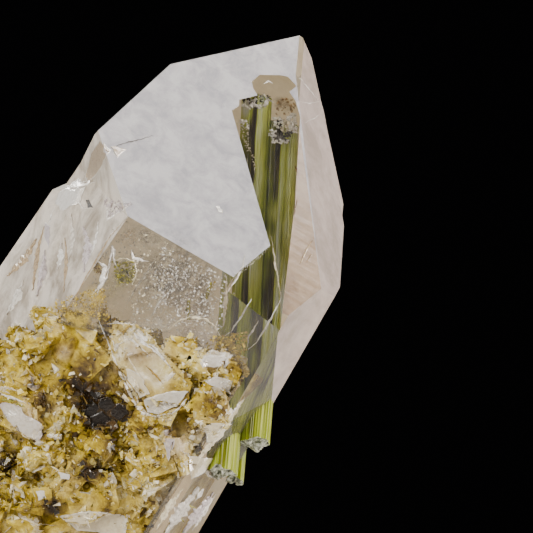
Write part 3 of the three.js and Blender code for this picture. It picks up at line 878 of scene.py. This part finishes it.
stains = {
    'name': 'stainInQuartz', 'slot': 'iron_stained_quartz', 'seed': 32,
    'dust': (
        (((115, 262), (137, 262), (136, 283), (120, 284)), 200, 0.24, 'olive', -13.02, -12.6),
        (((97, 262), (104, 262), (104, 273), (97, 272)), 60, 0.2, 'amber', -12.9, -12),
        (((58, 300), (106, 285), (112, 318), (60, 322)), 420, 0.2, 'ochre', -13.3, -12.6),
        (((215, 335), (248, 330), (246, 358), (200, 350)), 360, 0.2, 'ochre', -13.1, -12.6),
    ),
    'clouds': (
        (126, 272, 16, 17, 0, -12.8, 'olive', 1.0), (100, 267, 5, 8, 0, -12.6, 'ochre', 0.9),
        (284, 104, 13, 9, 20, 2.6, 'brown', 0.6), (100, 296, 16, 14, 0, -12.8, 'ochre', 0.6),
        (80, 316, 34, 12, 15, -12.9, 'ochre', 0.7), (228, 344, 22, 10, 0, -12.9, 'ochre', 0.7),
    ),
    'lines': (
        (((129, 218), (120, 228), (112, 237), (104, 251), (96, 265), (86, 282), (77, 300), (66, 315)), 0.2,
         'tan', None),
        (((66, 238), (68, 262), (66, 292)), 0.45, 'tan', None),
        (((36, 238), (30, 250), (22, 262), (6, 276)), 1.1, 'tan', None),
        (((44, 226), (38, 250), (34, 290)), 0.6, 'tan', None),
        (((124, 268), (129, 270), (131, 278)), 0.3, 'green', -12.9),
        (((295, 165), (297, 169), (297, 173)), 0.25, 'brown', None),
        (((297, 200), (295, 207), (294, 215)), 0.2, 'brown', None),
        (((312, 240), (306, 250), (300, 264)), 0.3, 'tan', None),
        (((312, 254), (306, 262)), 0.25, 'tan', None),
        (((227, 276), (226, 300), (224, 326)), 0.5, 'cream', -12.4),
        (((187, 500), (193, 504), (200, 508)), 0.3, 'olive', None),
        (((178, 511), (186, 520)), 0.3, 'olive', None),
    ),
    'plates': (
        (((84, 404), (96, 397), (103, 406), (94, 416), (86, 413)), 0.25, 'umber', 'umber'),
        (((100, 398), (113, 394), (118, 404), (108, 412), (101, 407)), 0.35, 'umber', 'brown'),
        (((112, 404), (126, 400), (132, 411), (121, 420), (112, 414)), 0.3, 'umber', 'brown'),
        (((92, 414), (105, 409), (113, 418), (106, 428), (94, 426)), 0.35, 'umber', 'umber'),
        (((108, 420), (117, 417), (121, 426), (112, 430)), 0.4, 'brown', 'umber'),
        (((88, 463), (97, 464), (98, 476), (90, 477)), 0.02, 'umber', 'brown'),
        (((86, 200), (90, 199), (94, 208), (88, 208)), 0.02, 'umber', 'umber'),
        (((48, 495), (52, 496), (53, 505), (49, 504)), 0.02, 'umber', 'brown'),
        (((55, 499), (60, 502), (63, 511), (58, 512)), 0.02, 'umber', 'brown'),
        (((3, 453), (12, 452), (18, 462), (14, 468), (5, 463)), 0.02, 'umber', 'brown'),
        (((205, 466), (221, 470), (222, 477), (208, 475)), 0.05, 'brown', 'olive'),
    ),
}
needles = {
    'seed': 17,
    'bars': (  # two ends in the picture, depth in mm, radius in mm, tint
        ((212, 282), (207, 298), -12.85, 0.18, 'olive'), ((190, 299), (190, 319), -12.85, 0.18, 'olive'),
        ((216, 281), (212, 288), -12.85, 0.12, 'ochre'), ((186, 312), (189, 306), -12.85, 0.08, 'green'),
    ),
    'frostAndPaintedGlitter': (  # outline in the window, how many, size in mm, tint, mm below the window
        # painted glitter: the white and cream chips stand in for glints on the broken tops as well as their
        # frost
        (((241, 100), (258, 95), (271, 94), (271, 103), (257, 107), (242, 107)), 60, 0.42, 'white', 1.0),
        (((241, 98), (258, 93), (271, 92), (271, 98), (257, 102), (242, 103)), 26, 0.3, 'umber', 0.8),
        (((240, 118), (249, 119), (248, 128), (241, 127)), 14, 0.4, 'white', 1.0),
        (((236, 120), (247, 128), (250, 152), (246, 150)), 70, 0.16, 'cream', 1.2),
        (((286, 116), (296, 111), (298, 131), (291, 132)), 60, 0.42, 'white', 0.9),
        (((279, 117), (290, 116), (294, 131), (281, 131)), 60, 0.36, 'cream', 1.1),
        (((272, 117), (283, 116), (282, 126), (273, 126)), 20, 0.4, 'white', 0.9),
        (((276, 119), (280, 118), (279, 123)), 4, 0.3, 'umber', 0.7),
        (((269, 129), (276, 129), (275, 138), (270, 138)), 20, 0.4, 'white', 0.9),
        (((275, 130), (292, 130), (289, 141), (274, 141)), 60, 0.34, 'grey', 1.0),
        (((272, 139), (288, 139), (288, 143), (273, 143)), 22, 0.3, 'white', 0.8),
        (((275, 94), (294, 94), (296, 112), (282, 119), (275, 112)), 30, 0.3, 'tan', 1.4),
        (((250, 150), (256, 158), (255, 176)), 30, 0.14, 'cream', 1.4),
    ),
}


def tintedMaterial(name, clear, rough, darkest='#A8A094'):
    # The tint on the points, broken up by a grit of 0.2 mm, with the gloss of quartz.
    material, tree = newMaterial(name)
    grit = addNoise(tree, objectPlace(tree), 2600.0, 5.0, 0.6)
    shade = addRamp(tree, grit, ((0.34, darkest), (0.56, '#FFFFFF')))
    colour = addNode(tree, 'ShaderNodeMix', {'data_type': 'RGBA', 'blend_type': 'MULTIPLY'}, {0: 0.8},
                     {6: attributeOf(tree, 'tint').outputs['Color'], 7: shade})
    finishMaterial(tree, addGloss(tree, colour.outputs[2], grit, (0.5, 0.0001), rough, quartzIor, clear))
    return material


def veilMaterial():
    # Sheets of tiny bubbles that healed into the quartz: thin and broken, so they only grey what is behind.
    material, tree = newMaterial('quartz veil of healed bubbles')
    grit = addNoise(tree, objectPlace(tree), 1500.0, 7.0, 0.75)
    broken = addNode(tree, 'ShaderNodeMapRange', values={1: 0.4, 2: 0.54}, links={0: grit})
    share = addNode(tree, 'ShaderNodeMath', {'operation': 'MULTIPLY'},
                    links={0: broken.outputs[0], 1: attributeOf(tree, 'cover').outputs['Fac']})
    clear = addNode(tree, 'ShaderNodeBsdfTransparent')
    solid = addNode(tree, 'ShaderNodeBsdfDiffuse',
                    links={'Color': attributeOf(tree, 'tint').outputs['Color']})
    shader = addNode(tree, 'ShaderNodeMixShader',
                     links={0: share.outputs[0], 1: clear.outputs[0], 2: solid.outputs[0]})
    finishMaterial(tree, shader)
    return material


class Picture:
    # finds places in and on the crystal from where they show in the picture
    def __init__(self, surfaces):
        self.surfaces = surfaces

    def inside(self, x, y, depth):
        return crystalOrigin + Vector(((x - originPixel[0]) * unitPerPixel, depth,
                                       (originPixel[1] - y) * unitPerPixel)) * mm

    def onSurface(self, x, y, proud=0.04):
        start = self.inside(x, y, -40)
        hits = [surface.ray_cast(start, Vector((0, 1, 0)))[0] for surface in self.surfaces]
        depths = [hit.y for hit in hits if hit]
        start.y = (min(depths) if depths else crystalOrigin.y) - proud * mm
        return start

    def underWindow(self, x, y, below):
        # quartz bends the view down along the crystal by 0.26 mm for each mm
        return self.onSurface(x, y, 0) + Vector((-0.13, 1, -0.225)) * below * mm

    def place(self, x, y, depth):
        return self.onSurface(x, y) if depth is None else self.inside(x, y, depth)


def alongLine(line, step, closed=False):
    places = []
    ends = list(line[1:]) + ([line[0]] if closed else [])
    for (x, y), (nextX, nextY) in zip(line, ends):
        count = max(1, round(math.hypot(nextX - x, nextY - y) / step))
        places += [(x + (nextX - x) * i / count, y + (nextY - y) * i / count) for i in range(count)]
    return places if closed else places + [line[-1]]


def randomIn(chance, outline):
    xs, ys = zip(*outline)
    while True:
        x, y = chance.uniform(min(xs), max(xs)), chance.uniform(min(ys), max(ys))
        if isInside(list(outline), x, y):
            return x, y


def addRibbon(pile, picture, chance, line, width, tint, depth):
    # a low uneven ridge along a line, thinner at its ends
    path = alongLine(line, 2.5)
    points, faces = [], []
    for i, (x, y) in enumerate(path):
        (ax, ay), (bx, by) = path[max(0, i - 1)], path[min(len(path) - 1, i + 1)]
        long = math.hypot(bx - ax, by - ay)
        taper = min(1, 0.15 + 1.6 * min(i, len(path) - 1 - i) / len(path))
        reach = 0.5 * width / unitPerPixel * taper * chance.uniform(0.55, 1.35)
        sideX, sideY = -(by - ay) / long * reach, (bx - ax) / long * reach
        x, y = x + chance.uniform(-0.5, 0.5), y + chance.uniform(-0.5, 0.5)
        middle = picture.place(x, y, depth)
        middle.y -= 0.3 * width * mm
        points += [picture.place(x + sideX, y + sideY, depth), middle,
                   picture.place(x - sideX, y - sideY, depth)]
    for i in range(len(path) - 1):
        a = 3 * i
        faces += [(a, a + 1, a + 4, a + 3), (a + 1, a + 2, a + 5, a + 4)]
    pile.add(points, faces, 0, hexColour(tints[tint]), 1.0)


def addPlate(pile, picture, chance, outline, proud, tint, rim):
    # a thin overgrowth with a jagged bevelled rim
    path = [(x + chance.uniform(-0.8, 0.8), y + chance.uniform(-0.8, 0.8))
            for x, y in alongLine(outline, 4, True)]
    middleX = sum(x for x, y in path) / len(path)
    middleY = sum(y for x, y in path) / len(path)
    points, colours, faces = [], [], []
    for share, height, colour in ((1.0, -0.1, rim), (0.97, proud, rim), (0.84, proud + 0.04, tint),
                                  (0.6, proud + 0.04, tint), (0.3, proud + 0.05, tint)):
        for x, y in path:
            points.append(picture.onSurface(middleX + (x - middleX) * share, middleY + (y - middleY) * share,
                                            height))
            colours.append(hexColour(tints[colour]))
    points.append(picture.onSurface(middleX, middleY, proud + 0.05))
    colours.append(hexColour(tints[tint]))
    count = len(path)
    for ring in range(4):
        for i in range(count):
            j = (i + 1) % count
            faces.append((ring * count + i, ring * count + j, (ring + 1) * count + j, (ring + 1) * count + i))
    faces += [(4 * count + i, 4 * count + (i + 1) % count, 5 * count) for i in range(count)]
    pile.add(points, faces, 2, colours, 1.0)


def addFlakes(pile, picture, chance, outline, count, size, tint, low, high):
    for _ in range(count):
        x, y = randomIn(chance, outline)
        own = size * chance.uniform(0.4, 1.5) * mm
        spot = picture.onSurface(x, y) if low is None else picture.inside(x, y, chance.uniform(low, high))
        half = Vector((own * 0.5, own * chance.uniform(0.1, 0.3), own * chance.uniform(0.3, 0.9)))
        pile.addChip(chance, spot, half, anyTurn(chance), 0, hexColour(tints[tint]), 1.0)


def addCloud(pile, picture, x, y, across, along, turn, depth, tint, cover):
    # an uneven sheet that fades out at its edge
    steps = 20
    cosine, sine = math.cos(math.radians(turn)), math.sin(math.radians(turn))
    points, covers, faces = [], [], []
    for i in range(steps + 1):
        for j in range(steps + 1):
            s, t = 2 * i / steps - 1, 2 * j / steps - 1
            spot = picture.inside(x + s * across * cosine - t * along * sine,
                                  y + s * across * sine + t * along * cosine, depth)
            spot.y += 0.0006 * noise.noise(spot * 300)
            points.append(spot)
            edge = math.hypot(s, t) + 0.35 * noise.noise(spot * 500)
            covers.append(cover * min(1, max(0, 1.6 * (1 - edge))))
    for i in range(steps):
        for j in range(steps):
            a = i * (steps + 1) + j
            faces.append((a, a + 1, a + steps + 2, a + steps + 1))
    pile.add(points, faces, 1, hexColour(tints[tint]), covers)


def buildFeatures(features, picture, materials):
    chance = random.Random(features['seed'])
    pile = Pile('tint', 'cover')
    for outline, count, size, tint, low, high in features['dust']:
        addFlakes(pile, picture, chance, outline, count, size, tint, low, high)
    for cloud in features['clouds']:
        addCloud(pile, picture, *cloud)
    for line, width, tint, depth in features['lines']:
        addRibbon(pile, picture, chance, line, width, tint, depth)
    for outline, proud, tint, rim in features['plates']:
        addPlate(pile, picture, chance, outline, proud, tint, rim)
    obj = pile.make(features['name'], materials)
    print(features['name'], len(obj.data.polygons), 'faces')


def buildNeedles(picture, materials):
    # small green needles, and the frost on the rods' broken tops, its white and cream chips partly painted
    # glitter
    chance = random.Random(needles['seed'])
    pile = Pile('tint', 'cover')
    for (ax, ay), (bx, by), depth, radius, tint in needles['bars']:
        start, end = picture.inside(ax, ay, depth), picture.inside(bx, by, depth + 0.1)
        turn = (end - start).to_track_quat('Z', 'Y').to_matrix()
        points = []
        for spot in (start, end):
            for i in range(6):
                angle = i * math.pi / 3
                points.append(spot + turn @ Vector((math.cos(angle), math.sin(angle), 0)) * radius * mm)
        faces = [(i, (i + 1) % 6, 6 + (i + 1) % 6, 6 + i) for i in range(6)]
        faces += [tuple(range(5, -1, -1)), tuple(range(6, 12))]
        pile.add(points, faces, 0, hexColour(tints[tint]), 1.0)
    for outline, count, size, tint, below in needles['frostAndPaintedGlitter']:
        for _ in range(count):
            x, y = randomIn(chance, outline)
            own = size * chance.uniform(0.5, 1.4) * mm
            half = Vector((own * 0.5, own * chance.uniform(0.2, 0.5), own * chance.uniform(0.3, 0.7)))
            spot = picture.underWindow(x, y, below + chance.uniform(0, 0.3))
            pile.addChip(chance, spot, half, anyTurn(chance), 0, hexColour(tints[tint]), 1.0)
    obj = pile.make('tourmalineNeedles', materials)
    print('needles and frost', len(obj.data.polygons), 'faces')


def surfaceOf(obj):
    return BVHTree.FromPolygons([v.co.copy() for v in obj.data.vertices],
                                [list(polygon.vertices) for polygon in obj.data.polygons])


def buildStage():
    material, tree = newMaterial('pale matt card')
    grain = addNoise(tree, objectPlace(tree), 400.0, 3.0)
    colour = addRamp(tree, grain, ((0.3, '#D9D6D0'), (0.7, '#E1DED8')))
    finishMaterial(tree, addNode(tree, 'ShaderNodeBsdfPrincipled', values={'Roughness': 0.9},
                                 links={'Base Color': colour}))
    body = bmesh.new()
    bmesh.ops.create_grid(body, x_segments=1, y_segments=1, size=0.5)
    floor = makeObject('floorCard', body)
    floor.scale = (0.5, 0.3, 1)
    floor.location = (0, -0.12, 0)
    floor.data.materials.append(material)
    dark, tree = newMaterial('black velvet backdrop')
    finishMaterial(tree, addNode(tree, 'ShaderNodeBsdfPrincipled',
                                 values={'Base Color': hexColour('#070708'), 'Roughness': 1.0,
                                         'Specular IOR Level': 0.0}))
    body = bmesh.new()
    bmesh.ops.create_grid(body, x_segments=1, y_segments=1, size=0.7)
    backdrop = makeObject('backdrop', body)
    backdrop.matrix_world = Matrix.Translation((0, 1.2, 0.3)) @ Matrix.Rotation(math.pi / 2, 4, 'X')
    backdrop.data.materials.append(dark)


def addPanel(name, place, target, size, power, tint):
    light = bpy.data.lights.new(name, 'AREA')
    light.shape = 'SQUARE'
    light.size = size
    light.energy = power
    light.color = hexColour(tint)[:3]
    obj = bpy.data.objects.new(name, light)
    scene.collection.objects.link(obj)
    place, target = Vector(place), Vector(target)
    turn = (place - target).to_track_quat('Z', 'Y').to_matrix().to_4x4()
    obj.matrix_world = Matrix.Translation(place) @ turn
    return obj


# Panels stand at a place and face a target, in metres. The camera stands off in millimetres.
studio = {
    'overhead': {'size': 0.1, 'power': 0.33, 'tint': '#FFFAFA', 'away': 0.42, 'left': 0.032, 'up': 0.015},
    'panels': (  # name, place, target, size, power, tint
        ('panelFrontLeft', (-0.42, -0.55, 0.34), (0, 0, 0.03), 0.36, 6.2, '#FFFAF2'),
        ('panelRight', (0.5, -0.12, 0.16), (0.01, 0, 0.03), 0.3, 3.4, '#FFF4EC'),
        ('panelBack', (-0.2, 0.5, 0.45), (0, 0, 0.03), 0.3, 3.0, '#FFFBF4'),
    ),
    'world': '#D8D5D2', 'worldStrength': 0.58, 'lens': 400, 'sensor': 36, 'standOff': 3,
}


def buildLights():
    # the overhead panel stands where the big facet mirrors it to the camera, and the window doesn't
    facetMiddle = crystalMm @ Vector((-2, facetDepth(6), 6))
    mirror = Vector((0.486, -0.236, 0.842)).normalized()
    sideways = Vector((0, 1, 0)).cross(mirror).normalized()
    upward = mirror.cross(sideways)
    top = studio['overhead']
    overhead = addPanel('panelOverhead', (0, 0, 1), (0, 0, 0), top['size'], top['power'], top['tint'])
    place = facetMiddle + mirror * top['away'] - sideways * top['left'] + upward * top['up']
    turn = Matrix((sideways, upward, mirror)).transposed().to_4x4()
    overhead.matrix_world = Matrix.Translation(place) @ turn
    for panel in studio['panels']:
        addPanel(*panel)
    world = bpy.data.worlds.new('studio')
    world.use_nodes = True
    background = world.node_tree.nodes['Background']
    background.inputs['Color'].default_value = hexColour(studio['world'])
    background.inputs['Strength'].default_value = studio['worldStrength']
    scene.world = world


def buildCamera():
    half = pictureSize / 2
    away = studio['lens'] / studio['sensor'] * pictureSize * unitPerPixel + studio['standOff']
    camera = bpy.data.cameras.new('camera')
    camera.lens = studio['lens']
    camera.sensor_width = studio['sensor']
    camera.clip_start = 0.01
    obj = bpy.data.objects.new('camera', camera)
    scene.collection.objects.link(obj)
    obj.location = crystalOrigin + Vector(((half - originPixel[0]) * unitPerPixel, -away,
                                           (originPixel[1] - half) * unitPerPixel)) * mm
    obj.rotation_euler = (math.pi / 2, 0, 0)
    scene.camera = obj


quartzPoint = buildQuartz()
rodMaterials = (tourmalineMaterial(), frostMaterial())
for rod in tourmaline['rods']:
    buildRod(rod, rodMaterials)
print('tourmaline rods')
crustSurface = buildCrust()
picture = Picture([surfaceOf(quartzPoint), crustSurface])
featureMaterials = (tintedMaterial('quartz healed crack', 0.1, 0.2), veilMaterial(),
                    tintedMaterial('quartz thin plate', 0.4, 0.12, '#E6E0D8'))
buildFeatures(veils, picture, featureMaterials)
buildFeatures(stains, picture, featureMaterials)
buildNeedles(picture, featureMaterials)
buildStage()
buildLights()
buildCamera()

bpy.context.view_layer.update()
